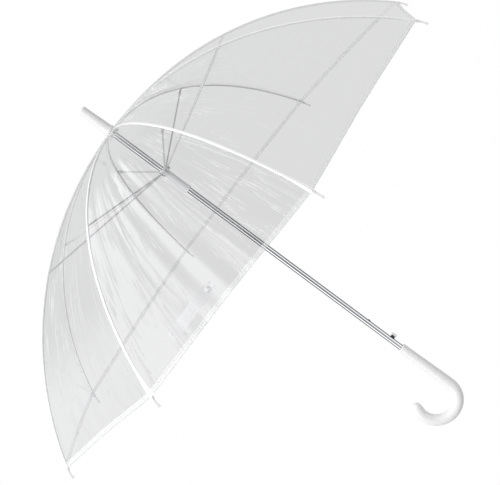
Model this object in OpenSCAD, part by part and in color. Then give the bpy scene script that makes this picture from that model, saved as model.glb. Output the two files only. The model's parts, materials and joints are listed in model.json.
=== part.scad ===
// Clear-canopy stick umbrella with an automatic opening spring, shown open.
// The shaft stands along Z with the ferrule up. The origin is on the shaft's axis, level with the
// lowest point of the crook handle. The crook curls towards -X and the push button faces +X.

/* [Shaft] */
// Height from the crook's lowest point to the ferrule's tip
overall_h = 830; // [820:1:860]
// Outside diameter of the shaft tube
shaft_d = 10; // [10:0.1:10.4]
// Wall of the shaft tube
shaft_wall = 0.8; // [0.6:0.1:0.9]

/* [Ribs] */
// Height of the ring wire that the ribs hinge on
notch_z = 767; // [765:0.5:768]
// Distance from the shaft's axis to the rib hinges
hinge_r = 9; // [9:0.1:9.5]
// Radius of the arc that an open rib bends to
rib_arc_r = 569; // [550:1:590]
// Slope of the rib at the hem, in degrees below level
hem_slope = 57.7; // [54:0.1:60]
// Slope of the rib at the stretcher's rivet
rivet_slope = 25.2; // [24:0.1:26]
// Diameter of a rib and of a stretcher
rib_d = 2.8; // [2.4:0.1:2.8]
// Length of a rib's end cap beyond the hem
tip_len = 19; // [14:1:24]

/* [Canopy] */
// Thickness of the film panels
film_t = 0.4; // [0.3:0.1:0.5]
// Clearance between neighbouring film panels
film_gap = 0.4; // [0.3:0.1:0.6]

/* [Handle] */
// Diameter of the crook
crook_d = 20.2; // [19:0.1:21]
// Diameter of the handle's top end
handle_top_d = 16; // [15:0.1:17]
// Height of the handle's top end
handle_top_z = 154; // [150:1:158]
// Radius of the crook's bend, to the middle of the tube
bend_r = 36.5; // [35:0.5:38]
// Angle that the crook turns through
bend_angle = 200; // [195:1:206]

/* [Ferrule] */
// Diameter of the ferrule's base
ferrule_base_d = 20.8; // [20:0.1:22]
// Diameter of the ferrule's free end
ferrule_tip_d = 15; // [14:0.1:16]

/* [Runner] */
// Diameter of the runner's tube
runner_d = 13; // [12.6:0.1:13.4]
// Length of the runner below its crown
runner_tube_l = 46; // [40:1:50]

/* [Hidden] */
$fn = 48;
rib_n = 8;
rib_ids = [1:rib_n];
fixed_nodes = ["shaft_tube", "handle", "ferrule", "top_notch", "notch_ring", "runner", "spring_plunger",
    "main_spring", "spring_stop", "catch_lever", "button_cap", "tie_strap"];
rib_nodes = ["rib_inner_", "rib_outer_", "rib_tip_", "stretcher_", "gore_inner_", "gore_outer_"];

shaft_r = shaft_d / 2;
bore_r = shaft_r - shaft_wall;
fit = 0.05;                       // radial clearance of parts that sit on the shaft
half_pitch = 180 / rib_n;         // half the angle between ribs
rib_r = rib_d / 2;
eye_r = 1.6;                      // rib and stretcher eyes
slot_w = 3.4;                     // slots of the notch and the crown
ring_r = 0.6;                     // ring wire
flex_slope = rivet_slope + 0.62;  // where the outer rib starts
rivet_r = 0.6;
knuckle_r = rib_r - 0.1;          // flex hinge between the rib's two halves
knuckle_pin_r = 0.5;
rivet_z = arc_z(rivet_slope);
crown_z = 2 * rivet_z - notch_z;  // a stretcher is as long as the rib's chord, so the two mirror
stretch_l = norm([arc_x(rivet_slope) - hinge_r, rivet_z - crown_z]);
stretch_angle = atan2(rivet_z - crown_z, arc_x(rivet_slope) - hinge_r);
film_in = rib_r + 0.5;            // film's inner face above the rib's middle line
film_out = film_in + film_t;
ferrule_z = notch_z + film_out + 0.45;
handle_bore_z = 96;
bend_z = bend_r + crook_d / 2;
notch_body_r = 11.5;
slot_bottom_z = 240;
button_z = 177;
catch_z = 227;
plunger_z = crown_z - 18;
stop_z = 114;

white = [0.95, 0.95, 0.94];
frost = [0.88, 0.89, 0.9];
chrome = [0.78, 0.79, 0.8];
steel = [0.62, 0.63, 0.65];
black = [0.05, 0.05, 0.05];
film = [0.9, 0.93, 0.95, 0.4];

// A point on the rib's arc, or off it by out, where the rib slopes down by the angle a.
function arc_x(a, out = 0) = hinge_r + (rib_arc_r + out) * sin(a);
function arc_z(a, out = 0) = notch_z - rib_arc_r + (rib_arc_r + out) * cos(a);

module ring_of_ribs(k) {
    rotate([0, 0, half_pitch + 2 * half_pitch * (k - 1)]) children();
}

// A round rod bent along the rib's arc, from slope a to slope b.
module rib_rod(a, b, r) {
    translate([hinge_r, 0, notch_z - rib_arc_r])
        rotate([90, 0, 0])
            rotate([0, 0, 90 - b])
                rotate_extrude(angle = b - a, $fn = 360) translate([rib_arc_r, 0]) circle(r);
}

// Carries its children to the rib at slope a, with X along the rib and Z outwards.
module at_slope(a) {
    translate([arc_x(a), 0, arc_z(a)]) rotate([0, a, 0]) children();
}

// A cylinder across the rib.
module cross_cylinder(r, l) {
    rotate([90, 0, 0]) cylinder(r = r, h = l, center = true);
}

// A slotted disc that rib ends or stretcher ends hinge in, with its slots open above and below.
module slotted_disc(z0, z1, root_r) {
    difference() {
        translate([0, 0, z0]) cylinder(r = notch_body_r, h = z1 - z0);
        for (k = rib_ids)
            ring_of_ribs(k)
                translate([root_r, -slot_w / 2, z0 - 1]) cube([notch_body_r, slot_w, z1 - z0 + 2]);
    }
}

module shaft_tube() {
    slot_top_z = plunger_z + 5;
    color(chrome) difference() {
        translate([0, 0, handle_bore_z]) cylinder(r = shaft_r, h = overall_h - 18 - handle_bore_z);
        translate([0, 0, handle_bore_z - 1]) cylinder(r = bore_r, h = overall_h);
        // Long slot at the back for the plunger's key.
        translate([-1.4, 0, slot_bottom_z]) cube([2.8, shaft_d, slot_top_z - slot_bottom_z]);
        // Holes for the push button's stem and the catch's nose.
        translate([0, -2.2, button_z - 4]) cube([shaft_d, 4.4, 8]);
        translate([0, -1.5, catch_z - 3.2]) cube([shaft_d, 3, 6.4]);
    }
}

module handle() {
    taper_l = 7;
    nose_r = crook_d / 2 - 1.6;
    color(white) difference() {
        union() {
            translate([0, 0, bend_z])
                cylinder(r1 = crook_d / 2, r2 = handle_top_d / 2, h = handle_top_z - 1.5 - bend_z);
            translate([0, 0, handle_top_z - 1.5])
                cylinder(r1 = handle_top_d / 2, r2 = handle_top_d / 2 - 1, h = 1.5);
            translate([-bend_r, 0, bend_z]) rotate([-90, 0, 0])
                rotate_extrude(angle = bend_angle, $fn = 96) translate([bend_r, 0]) circle(crook_d / 2);
            translate([-bend_r, 0, bend_z]) rotate([0, bend_angle, 0]) translate([bend_r, 0, -taper_l]) {
                cylinder(r1 = nose_r, r2 = crook_d / 2 - 0.06, h = taper_l + 0.6);
                sphere(nose_r + 0.15);
            }
        }
        translate([0, 0, handle_bore_z]) cylinder(r = shaft_r + fit, h = handle_top_z);
    }
}

module ferrule() {
    straight_l = 12;
    color(white) difference() {
        union() {
            translate([0, 0, ferrule_z]) cylinder(r1 = ferrule_base_d / 2, r2 = ferrule_tip_d / 2,
                h = overall_h - 1 - straight_l - ferrule_z);
            translate([0, 0, overall_h - 1 - straight_l]) cylinder(r = ferrule_tip_d / 2, h = straight_l);
            translate([0, 0, overall_h - 1])
                cylinder(r1 = ferrule_tip_d / 2, r2 = ferrule_tip_d / 2 - 1, h = 1);
        }
        translate([0, 0, ferrule_z - 1]) cylinder(r = shaft_r + fit, h = overall_h - 17.9 - ferrule_z + 1);
    }
}

module top_notch() {
    color(white) difference() {
        slotted_disc(notch_z - 6.5, notch_z + 1.5, 6.4);
        translate([0, 0, notch_z - 8]) cylinder(r = shaft_r + fit, h = 12);
        // Groove that holds the ring wire.
        translate([0, 0, notch_z]) rotate_extrude() translate([hinge_r, 0]) circle(ring_r + 0.03);
    }
}

module notch_ring() {
    color(steel) translate([0, 0, notch_z]) rotate_extrude() translate([hinge_r, 0]) circle(ring_r);
}

module runner() {
    color(frost) difference() {
        union() {
            slotted_disc(crown_z - 5, crown_z + 5, 7.1);
            translate([0, 0, crown_z - 5 - runner_tube_l]) cylinder(r = runner_d / 2, h = runner_tube_l + 5);
            translate([0, 0, crown_z - 5 - runner_tube_l]) cylinder(r = runner_d / 2 + 0.6, h = 3);
        }
        translate([0, 0, crown_z - 60]) cylinder(r = shaft_r + fit, h = 80);
        // Keyway that clears the catch's nose, up to the window where the nose latches.
        translate([0, -1.8, crown_z - 60]) cube([6.1, 3.6, 24]);
        // Seat for the plunger's key.
        translate([-1.1, 0, plunger_z - 3]) cube([2.2, 6, 6]);
    }
}

module spring_plunger() {
    color(steel) {
        translate([0, 0, plunger_z - 6]) cylinder(r = bore_r - 0.15, h = 12);
        translate([-1, 0, plunger_z - 2.9]) cube([2, 5.9, 5.8]);
    }
}

module main_spring() {
    color(steel) difference() {
        translate([0, 0, stop_z + 8]) cylinder(r = 2.6, h = plunger_z - 6.2 - stop_z - 8);
        translate([0, 0, stop_z]) cylinder(r = 1.9, h = plunger_z);
    }
}

module spring_stop() {
    color(steel) translate([0, 0, stop_z]) cylinder(r = bore_r - 0.05, h = 8);
}

module catch_lever() {
    color(black) {
        translate([2.95, -1.4, button_z - 3]) cube([0.7, 2.8, catch_z + 3 - button_z]);
        translate([3.2, -1.2, catch_z - 2]) cube([2.7, 2.4, 4]);
        translate([3.2, -1.9, button_z - 3.5]) cube([5.6, 3.8, 7]);
    }
}

module button_cap() {
    color(white) {
        translate([8.8, -2.4, button_z - 4.5]) cube([3.4, 4.8, 9]);
        translate([12.2, -1.9, button_z - 3.9]) cube([0.8, 3.8, 7.8]);
    }
}

module tie_strap() {
    // A flat strip against the film's outer face, from the middle of the panel towards the next rib.
    slope = hem_slope - 3.4;
    panel_slope = atan(tan(slope) / cos(half_pitch));
    mid_r = arc_x(slope, film_out) * cos(half_pitch);
    color(frost) translate([0, -mid_r - 0.6, arc_z(slope, film_out)])
        rotate([panel_slope - 90, 0, 0]) translate([-104, -0.3, -10]) cube([100, 0.6, 20]);
}

module rib_inner(k) {
    color(steel) ring_of_ribs(k) difference() {
        union() {
            rib_rod(0.1, flex_slope - 0.2, rib_r);
            translate([hinge_r, 0, notch_z]) cross_cylinder(eye_r, 2.6);
            at_slope(rivet_slope) {
                cross_cylinder(rib_r + 0.1, 2.6);
                cross_cylinder(rivet_r, 5.2);
            }
            // Tongue of the flex hinge.
            at_slope(flex_slope) {
                cross_cylinder(knuckle_r, 1.1);
                translate([-3, -0.55, -knuckle_r]) cube([3, 1.1, 2 * knuckle_r]);
            }
        }
        translate([hinge_r, 0, notch_z]) cross_cylinder(ring_r + 0.35, 4);
        at_slope(flex_slope) cross_cylinder(knuckle_pin_r + 0.06, 4);
    }
}

module rib_outer(k) {
    color(steel) ring_of_ribs(k) {
        rib_rod(flex_slope + 0.2, hem_slope + 0.45, rib_r);
        // Cheeks and pin of the flex hinge.
        at_slope(flex_slope) {
            for (side = [-1, 1])
                translate([0, side, 0]) {
                    cross_cylinder(knuckle_r, 0.8);
                    translate([0, -0.4, -knuckle_r]) cube([3, 0.8, 2 * knuckle_r]);
                }
            cross_cylinder(knuckle_pin_r, 2.6);
        }
    }
}

module rib_tip(k) {
    color(frost) ring_of_ribs(k) at_slope(hem_slope) {
        difference() {
            translate([0.4, 0, 0]) rotate([0, 90, 0]) cylinder(r = 2.1, h = tip_len - 2.4);
            translate([-1, 0, 0]) rotate([0, 90, 0]) cylinder(r = rib_r + 0.05, h = 6.2);
        }
        translate([tip_len - 2.6, 0, 0]) sphere(2.6);
    }
}

module stretcher(k) {
    fork_l = 22;
    cheek_r = 1.1;
    color(steel) ring_of_ribs(k)
        translate([arc_x(rivet_slope), 0, rivet_z]) rotate([0, 180 - stretch_angle, 0]) difference() {
            union() {
                for (side = [-1, 1])
                    translate([0, side * 2.05, 0]) {
                        cross_cylinder(cheek_r, 0.9);
                        translate([0, -0.45, -cheek_r]) cube([fork_l, 0.9, 2 * cheek_r]);
                    }
                translate([fork_l - 2, -2.5, -1.4]) cube([3, 5, 2.8]);
                translate([fork_l, 0, 0]) rotate([0, 90, 0])
                    cylinder(r = rib_r, h = stretch_l - fork_l - 1);
                translate([stretch_l, 0, 0]) cross_cylinder(eye_r, 2.6);
            }
            cross_cylinder(rivet_r + 0.06, 8);
            translate([stretch_l, 0, 0]) cross_cylinder(ring_r + 0.2, 4);
        }
}

// One film panel, centred on a rib and flat from the rib to the middle of each span.
module gore(k, a0, a1, steps) {
    slopes = [for (i = [0:steps]) a0 + (a1 - a0) * i / steps];
    // The three corners of a cross-section: left middle, rib, right middle.
    function span(a, out) = let (
            r = arc_x(a, out),
            z = arc_z(a, out),
            x = r * cos(half_pitch) ^ 2 + film_gap / 2 * sin(half_pitch),
            y = r * cos(half_pitch) * sin(half_pitch) - film_gap / 2 * cos(half_pitch)
        ) [[x, -y, z], [r, 0, z], [x, y, z]];
    rows = [for (a = slopes) concat(span(a, film_out), [for (i = [2:-1:0]) span(a, film_in)[i]])];
    n = 6;
    sides = [for (i = [0:steps - 1], j = [0:n - 1]) let (p = n * i + j, q = n * i + (j + 1) % n)
        each [[p, q, q + n], [p, q + n, p + n]]];
    fan = [[0, 4, 5], [0, 1, 4], [1, 3, 4], [1, 2, 3]];
    ends = concat([for (f = fan) [f[2], f[1], f[0]]], [for (f = fan) [for (v = f) v + n * steps]]);
    color(film) ring_of_ribs(k)
        polyhedron([for (row = rows, p = row) p], concat(sides, ends), convexity = 4);
}

shaft_tube();
handle();
ferrule();
top_notch();
notch_ring();
runner();
spring_plunger();
main_spring();
spring_stop();
catch_lever();
button_cap();
tie_strap();
for (k = rib_ids) {
    rib_inner(k);
    rib_outer(k);
    rib_tip(k);
    stretcher(k);
    gore(k, 0.12, flex_slope - 0.02, 10);
    gore(k, flex_slope + 0.02, hem_slope, 13);
}
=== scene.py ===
"""Visual model of the clear-canopy stick umbrella, built around its CAD frame.

Everything is in metres in the frame's own axes: the shaft stands along Z with the ferrule up, the crook
curls towards -X and the push button faces +X. Film, tapes, hem, strap, snap, rib caps, handle, ferrule,
opening spring and crown wire are surfaces worked out here; the other CAD nodes are kept and dressed.
"""

import json
import logging
import math
from dataclasses import dataclass, field
from enum import Enum

import bmesh
import bpy
import numpy as np
from mathutils import Matrix, Vector


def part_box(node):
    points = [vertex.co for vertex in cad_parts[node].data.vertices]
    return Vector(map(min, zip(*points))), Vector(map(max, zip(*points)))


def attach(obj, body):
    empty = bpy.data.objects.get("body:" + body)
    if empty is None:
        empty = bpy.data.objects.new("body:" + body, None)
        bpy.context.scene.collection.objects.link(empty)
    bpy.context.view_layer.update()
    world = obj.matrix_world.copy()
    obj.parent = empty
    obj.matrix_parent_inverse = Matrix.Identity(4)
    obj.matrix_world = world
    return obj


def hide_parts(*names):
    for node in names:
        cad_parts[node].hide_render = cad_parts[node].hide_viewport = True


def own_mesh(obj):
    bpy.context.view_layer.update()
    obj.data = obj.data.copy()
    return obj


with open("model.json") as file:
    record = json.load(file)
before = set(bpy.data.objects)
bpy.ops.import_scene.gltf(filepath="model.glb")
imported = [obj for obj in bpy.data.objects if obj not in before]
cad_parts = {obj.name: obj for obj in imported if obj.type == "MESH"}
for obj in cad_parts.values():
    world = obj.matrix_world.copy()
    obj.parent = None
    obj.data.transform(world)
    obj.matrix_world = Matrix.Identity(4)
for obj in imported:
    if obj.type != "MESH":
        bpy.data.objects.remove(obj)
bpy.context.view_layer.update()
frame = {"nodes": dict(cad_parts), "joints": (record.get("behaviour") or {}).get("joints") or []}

LOG = logging.getLogger("umbrella")
RIBS = 8
PITCH = 2.0 * math.pi / RIBS
SEED = 7
MERGE_DISTANCE = 1e-6
X_AXIS, Y_AXIS, Z_AXIS = np.eye(3)

Colour = tuple[float, float, float]
Shape = tuple[np.ndarray, np.ndarray, list]


# ---------------------------------------------------------------------------------------------- meshes


def unit(v: np.ndarray) -> np.ndarray:
    """Scales vectors to length one.

    Args:
        v: One vector or an array of them, with the coordinates last.

    Returns:
        The same directions at length one.
    """
    v = np.asarray(v, float)
    return v / np.maximum(np.linalg.norm(v, axis=-1, keepdims=True), 1e-12)


def smoothstep(low: float, high: float, x: np.ndarray) -> np.ndarray:
    """The cubic ramp 3t^2 - 2t^3 from 0 at low to 1 at high.

    Args:
        low: Where the ramp starts.
        high: Where the ramp ends.
        x: Values to map.

    Returns:
        Values from 0 to 1.
    """
    t = np.clip((np.asarray(x, float) - low) / (high - low), 0.0, 1.0)
    return t * t * (3.0 - 2.0 * t)


def grid_faces(rows: int, cols: int, wrap: bool = False) -> np.ndarray:
    """Quads of a grid whose point (i, j) has the index i * cols + j, turned so that d/di x d/dj is outside.

    Args:
        rows: Points in the first direction.
        cols: Points in the second direction.
        wrap: Whether the second direction closes on itself.

    Returns:
        An array of four indices a face.
    """
    i, j = np.meshgrid(np.arange(rows - 1), np.arange(cols if wrap else cols - 1), indexing="ij")
    k = (j + 1) % cols
    quads = np.stack([i * cols + j, (i + 1) * cols + j, (i + 1) * cols + k, i * cols + k], -1)
    return quads.reshape(-1, 4)


def make_piece(name: str, points: np.ndarray, faces: np.ndarray, fans: list | None = None,
               uv: np.ndarray | None = None, normals: np.ndarray | None = None) -> bpy.types.Object:
    """Puts points and faces into a smooth-shaded mesh object at the origin.

    Args:
        name: The piece's name.
        points: Vertex positions, one row each.
        faces: Quads, one row each.
        fans: Extra faces of any size, such as end caps.
        uv: Surface coordinates, one row a vertex.
        normals: Shading normals, one row a vertex.

    Returns:
        The new object, linked to the scene.
    """
    points = np.asarray(points, float).reshape(-1, 3)
    polygons = np.asarray(faces).tolist() + [list(f) for f in (fans or [])]
    mesh = bpy.data.meshes.new(name)
    mesh.from_pydata(points.tolist(), [], polygons)
    mesh.shade_smooth()
    if uv is not None:
        corner = np.empty(len(mesh.loops), dtype=np.int32)
        mesh.loops.foreach_get("vertex_index", corner)
        layer = mesh.uv_layers.new(name="surface")
        layer.data.foreach_set("uv", np.asarray(uv, float).reshape(-1, 2)[corner].ravel())
    mesh.update()
    if normals is not None:
        mesh.normals_split_custom_set_from_vertices(unit(normals.reshape(-1, 3)).tolist())
    piece = bpy.data.objects.new(name, mesh)
    bpy.context.scene.collection.objects.link(piece)
    return piece


def join_shapes(shapes: list[Shape]) -> Shape:
    """Stacks several meshes into one set of points, quads and fans.

    Args:
        shapes: Points, quads and fans of each mesh.

    Returns:
        The stacked points, quads and fans.
    """
    points, quads, fans, start = [], [], [], 0
    for p, q, f in shapes:
        p = p.reshape(-1, 3)
        points.append(p)
        quads.append(q + start)
        fans += [[v + start for v in face] for face in f]
        start += len(p)
    return np.concatenate(points), np.concatenate(quads), fans


def surface_uv(u: np.ndarray, v: np.ndarray) -> np.ndarray:
    """Surface coordinates from a row of one and a column of the other.

    Args:
        u: First coordinate.
        v: Second coordinate, of a shape that broadcasts with u.

    Returns:
        Pairs, with the coordinates last.
    """
    return np.stack(np.broadcast_arrays(u, v), -1)


def ring_of(across: np.ndarray, other: np.ndarray, sides: int) -> np.ndarray:
    """The circle cos t * across + sin t * other, for one pair of directions or one pair a row.

    Args:
        across: First direction.
        other: Second direction.
        sides: Points round the circle.

    Returns:
        Points of shape sides by three, after one row for each pair.
    """
    turn = np.linspace(0.0, 2.0 * np.pi, sides, endpoint=False)[:, None]
    return np.cos(turn) * across[..., None, :] + np.sin(turn) * other[..., None, :]


def skin(path: np.ndarray, ring: np.ndarray, radius: np.ndarray) -> Shape:
    """Rings centre + r * ring, joined by quads, with a fan over each end.

    Args:
        path: Centre points, one row each.
        ring: The unit circle, one for all centres or one a centre.
        radius: The radius at each centre.

    Returns:
        Points, quads and the two end fans.
    """
    n, sides = len(path), ring.shape[-2]
    fans = [list(range(sides))[::-1], [(n - 1) * sides + j for j in range(sides)]]
    return path[:, None] + ring * radius[:, None, None], grid_faces(n, sides, wrap=True)[:, ::-1], fans


def tube_along(path: np.ndarray, radius: np.ndarray, side: np.ndarray, sides: int) -> Shape:
    """A circle carried along a path: centre + r (cos t * n + sin t * b), with n and b across the path.

    Args:
        path: Centre points, one row each.
        radius: The tube's radius at each point.
        side: A direction that is never along the path.
        sides: Points round the circle.

    Returns:
        Points, quads and the two end fans.
    """
    tangent = unit(np.gradient(path, axis=0))
    across = unit(side - np.sum(side * tangent, -1, keepdims=True) * tangent)
    return skin(path, ring_of(across, np.cross(tangent, across), sides), radius)


def lathe(profile: list[tuple[float, float]], origin: np.ndarray, axis: np.ndarray, side: np.ndarray,
          sides: int) -> Shape:
    """A profile of (distance along, radius) turned round an axis.

    Args:
        profile: Distances along the axis and radii, from one end to the other.
        origin: The axis's start.
        axis: Direction of the axis.
        side: A direction across the axis.
        sides: Points round the axis.

    Returns:
        Points, quads and end fans.
    """
    along, radius = np.array(profile, float).T
    axis = unit(axis)
    across = unit(side - np.dot(side, axis) * axis)
    return skin(origin + along[:, None] * axis, ring_of(across, np.cross(axis, across), sides), radius)


def rounded_profile(corners: list[tuple[float, float, float]], steps: int = 6) -> list[tuple[float, float]]:
    """Rounds the corners of an open profile with quadratic curves.

    Args:
        corners: Distance along, radius, and how far the rounding reaches each way.
        steps: Points in each rounding.

    Returns:
        The profile's points.
    """
    p = np.array([c[:2] for c in corners], float)
    out = [tuple(p[0])]
    for i in range(1, len(p) - 1):
        reach = corners[i][2]
        a = p[i] + unit(p[i - 1] - p[i]) * min(reach, np.linalg.norm(p[i - 1] - p[i]) * 0.49)
        b = p[i] + unit(p[i + 1] - p[i]) * min(reach, np.linalg.norm(p[i + 1] - p[i]) * 0.49)
        for t in np.linspace(0.0, 1.0, steps):
            q = (1 - t) ** 2 * a + 2 * t * (1 - t) * p[i] + t * t * b
            out.append((float(q[0]), float(q[1])))
    out.append(tuple(p[-1]))
    return out


# -------------------------------------------------------------------------------------------- finishes


@dataclass
class Wires:
    """A thin layer over a node tree that adds nodes and joins sockets by name."""

    tree: bpy.types.NodeTree

    def add(self, kind: str, inputs: dict | None = None, **settings: object) -> bpy.types.Node:
        """Adds a node, sets its attributes, and sets or links its inputs.

        Args:
            kind: The node's type name without the prefix ShaderNode.
            inputs: Values or output sockets, by input name or number.
            **settings: Attributes of the node.

        Returns:
            The new node.
        """
        node = self.tree.nodes.new(kind if kind.startswith("Node") else "ShaderNode" + kind)
        for key, value in settings.items():
            setattr(node, key, value)
        for key, value in (inputs or {}).items():
            socket = node.inputs[key]
            if isinstance(value, bpy.types.NodeSocket):
                self.tree.links.new(value, socket)
            else:
                socket.default_value = value
        return node

    def maths(self, operation: str, *values: float | bpy.types.NodeSocket) -> bpy.types.NodeSocket:
        """Adds a Math node.

        Args:
            operation: The operation's name.
            *values: Numbers or sockets.

        Returns:
            Its output socket.
        """
        return self.add("Math", dict(enumerate(values)), operation=operation).outputs[0]

    def soft_step(self, value: bpy.types.NodeSocket, start: float, end: float) -> bpy.types.NodeSocket:
        """Adds a smooth step from 0 at start to 1 at end.

        Args:
            value: The socket that drives it.
            start: Where the step starts.
            end: Where it ends, above or below start.

        Returns:
            Its output socket.
        """
        return self.add("MapRange", {"Value": value, "From Min": start, "From Max": end},
                        interpolation_type="SMOOTHSTEP").outputs["Result"]

    def group(self, tree: bpy.types.NodeTree, inputs: dict) -> bpy.types.Node:
        """Adds a node group.

        Args:
            tree: The group's tree.
            inputs: Values or sockets by input name.

        Returns:
            The group node.
        """
        return self.add("Group", inputs, node_tree=tree)

    def stretched(self, vector: bpy.types.NodeSocket,
                  factors: tuple | bpy.types.NodeSocket) -> bpy.types.NodeSocket:
        """Multiplies a vector by a factor on each axis.

        Args:
            vector: The vector's socket.
            factors: Three numbers, or a socket that carries them.

        Returns:
            Its output socket.
        """
        return self.add("VectorMath", {0: vector, 1: factors}, operation="MULTIPLY").outputs[0]

    def blend(self, share: bpy.types.NodeSocket, first: Colour, second: Colour) -> bpy.types.NodeSocket:
        """Mixes two colours.

        Args:
            share: The socket that says how much of the second there is.
            first: The colour at 0.
            second: The colour at 1.

        Returns:
            Its output socket.
        """
        sockets = {"Fac": share, "Color1": (*first, 1.0), "Color2": (*second, 1.0)}
        return self.add("MixRGB", sockets).outputs[0]


def new_group(name: str, inputs: dict[str, float],
              outputs: list[str]) -> tuple[Wires, bpy.types.NodeOutputs, bpy.types.NodeInputs]:
    """Starts a node group with number inputs plus a Vector, and number outputs.

    Args:
        name: The group's name.
        inputs: Number inputs and their defaults.
        outputs: Names of the outputs.

    Returns:
        The tree's wiring helper, the sockets that bring the inputs and the sockets to end in.
    """
    tree = bpy.data.node_groups.new(name, "ShaderNodeTree")
    tree.interface.new_socket("Vector", in_out="INPUT", socket_type="NodeSocketVector")
    for key, value in inputs.items():
        socket = tree.interface.new_socket(key, in_out="INPUT", socket_type="NodeSocketFloat")
        socket.default_value = value
    for key in outputs:
        tree.interface.new_socket(key, in_out="OUTPUT", socket_type="NodeSocketFloat")
    w = Wires(tree)
    return w, w.add("NodeGroupInput").outputs, w.add("NodeGroupOutput").inputs


class Effects:
    """The node groups that several finishes share."""

    def __init__(self) -> None:
        """Builds the groups once."""
        self.grain = self._grain()
        self.smudge = self._smudge()
        self.streaks = self._streaks()

    @staticmethod
    def _grain() -> bpy.types.NodeTree:
        """Fine moulded or drawn grain: two octave noises mixed.

        Returns:
            The group's tree, with a Height and a Fine output.
        """
        w, given, ends = new_group("fine_grain", {"Scale": 900.0, "Stretch": 1.0}, ["Height", "Fine"])
        at = w.stretched(given["Vector"],
                         w.add("CombineXYZ", {0: 1.0, 1: 1.0, 2: given["Stretch"]}).outputs[0])
        coarse = w.add("TexNoise", {"Vector": at, "Scale": given["Scale"], "Detail": 3.0,
                                    "Roughness": 0.55}).outputs["Fac"]
        fine = w.add("TexNoise", {"Vector": at, "Scale": w.maths("MULTIPLY", given["Scale"], 3.7),
                                  "Detail": 1.0}).outputs["Fac"]
        both = w.maths("MULTIPLY_ADD", fine, 0.35, w.maths("MULTIPLY", coarse, 0.65))
        w.tree.links.new(both, ends["Height"])
        w.tree.links.new(fine, ends["Fine"])
        return w.tree

    @staticmethod
    def _smudge() -> bpy.types.NodeTree:
        """Handling marks and haze: broad soft noise cut to patches, broken up by a finer one.

        Returns:
            The group's tree, with a Mask output from 0, clean, to 1.
        """
        w, given, ends = new_group("handling_haze", {"Scale": 14.0, "Amount": 0.5}, ["Mask"])
        broad = w.add("TexNoise", {"Vector": given["Vector"], "Scale": given["Scale"],
                                   "Detail": 4.0, "Roughness": 0.6, "Distortion": 0.4})
        patch = w.add("MapRange", {"Value": broad.outputs["Fac"], "From Min": 0.48, "From Max": 0.72})
        rub = w.add("TexNoise", {"Vector": given["Vector"], "Scale": w.maths("MULTIPLY", given["Scale"], 9.0),
                                 "Detail": 2.0})
        mixed = w.maths("MULTIPLY", patch.outputs["Result"],
                        w.maths("MULTIPLY_ADD", rub.outputs["Fac"], 0.6, 0.4))
        w.tree.links.new(w.maths("MULTIPLY", mixed, given["Amount"]), ends["Mask"])
        return w.tree

    @staticmethod
    def _streaks() -> bpy.types.NodeTree:
        """Storage creases of a sheet: noise drawn out along the ribs, kept where it peaks, in loose patches.

        Returns:
            The group's tree, with a Height output.
        """
        w, given, ends = new_group("crease_streaks", {}, ["Height"])
        at = w.stretched(given["Vector"], (80.0, 14.0, 1.0))
        lines = w.add("TexNoise", {"Vector": at, "Scale": 1.0, "Detail": 2.0, "Roughness": 0.5,
                                   "Distortion": 0.6}).outputs["Fac"]
        loose = w.stretched(given["Vector"], (5.0, 7.0, 1.0))
        spread = w.add("TexNoise", {"Vector": loose, "Scale": 1.0, "Detail": 1.0}).outputs["Fac"]
        height = w.maths("MULTIPLY", w.soft_step(lines, 0.54, 0.72), w.soft_step(spread, 0.40, 0.62))
        w.tree.links.new(height, ends["Height"])
        return w.tree


EFFECTS = Effects()


def blank_material(name: str) -> tuple[bpy.types.Material, Wires, bpy.types.Node, bpy.types.NodeSocket]:
    """Starts a node material.

    Args:
        name: The material's name.

    Returns:
        The material, its wiring helper, its output node and the object coordinates.
    """
    material = bpy.data.materials.new(name)
    material.use_nodes = True
    material.node_tree.nodes.clear()
    w = Wires(material.node_tree)
    output = w.add("OutputMaterial")
    place = w.add("TexCoord").outputs["Object"]
    return material, w, output, place


@dataclass(frozen=True)
class SolidFinish:
    """An opaque finish with grain in its bump and haze in its roughness."""

    name: str
    colour: Colour
    roughness: float = 0.3
    metallic: float = 0.0
    coat: float = 0.0
    grain_scale: float = 900.0
    grain_stretch: float = 1.0
    bump: float = 0.04
    haze: float = 0.08
    tint: float = 0.05

    def build(self) -> bpy.types.Material:
        """Makes the material.

        Returns:
            The new material.
        """
        material, w, output, place = blank_material(self.name)
        grain = w.group(EFFECTS.grain, {"Vector": place, "Scale": self.grain_scale,
                                        "Stretch": self.grain_stretch})
        haze = w.group(EFFECTS.smudge, {"Vector": place, "Scale": 22.0, "Amount": 1.0})
        rough = w.maths("ADD", w.maths("MULTIPLY", haze.outputs["Mask"], self.haze), self.roughness)
        rough = w.maths("MULTIPLY_ADD", grain.outputs["Fine"], self.haze * 0.4, rough)
        dark = tuple(c * (1.0 - self.tint) for c in self.colour)
        colour = w.blend(grain.outputs["Height"], self.colour, dark)
        bump = w.add("Bump", {"Height": grain.outputs["Height"], "Strength": self.bump, "Distance": 0.0002})
        shader = w.add("BsdfPrincipled", {"Base Color": colour, "Roughness": rough,
                                          "Metallic": self.metallic, "Coat Weight": self.coat,
                                          "Coat Roughness": 0.05, "Normal": bump.outputs["Normal"]})
        w.tree.links.new(shader.outputs[0], output.inputs["Surface"])
        return material


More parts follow.
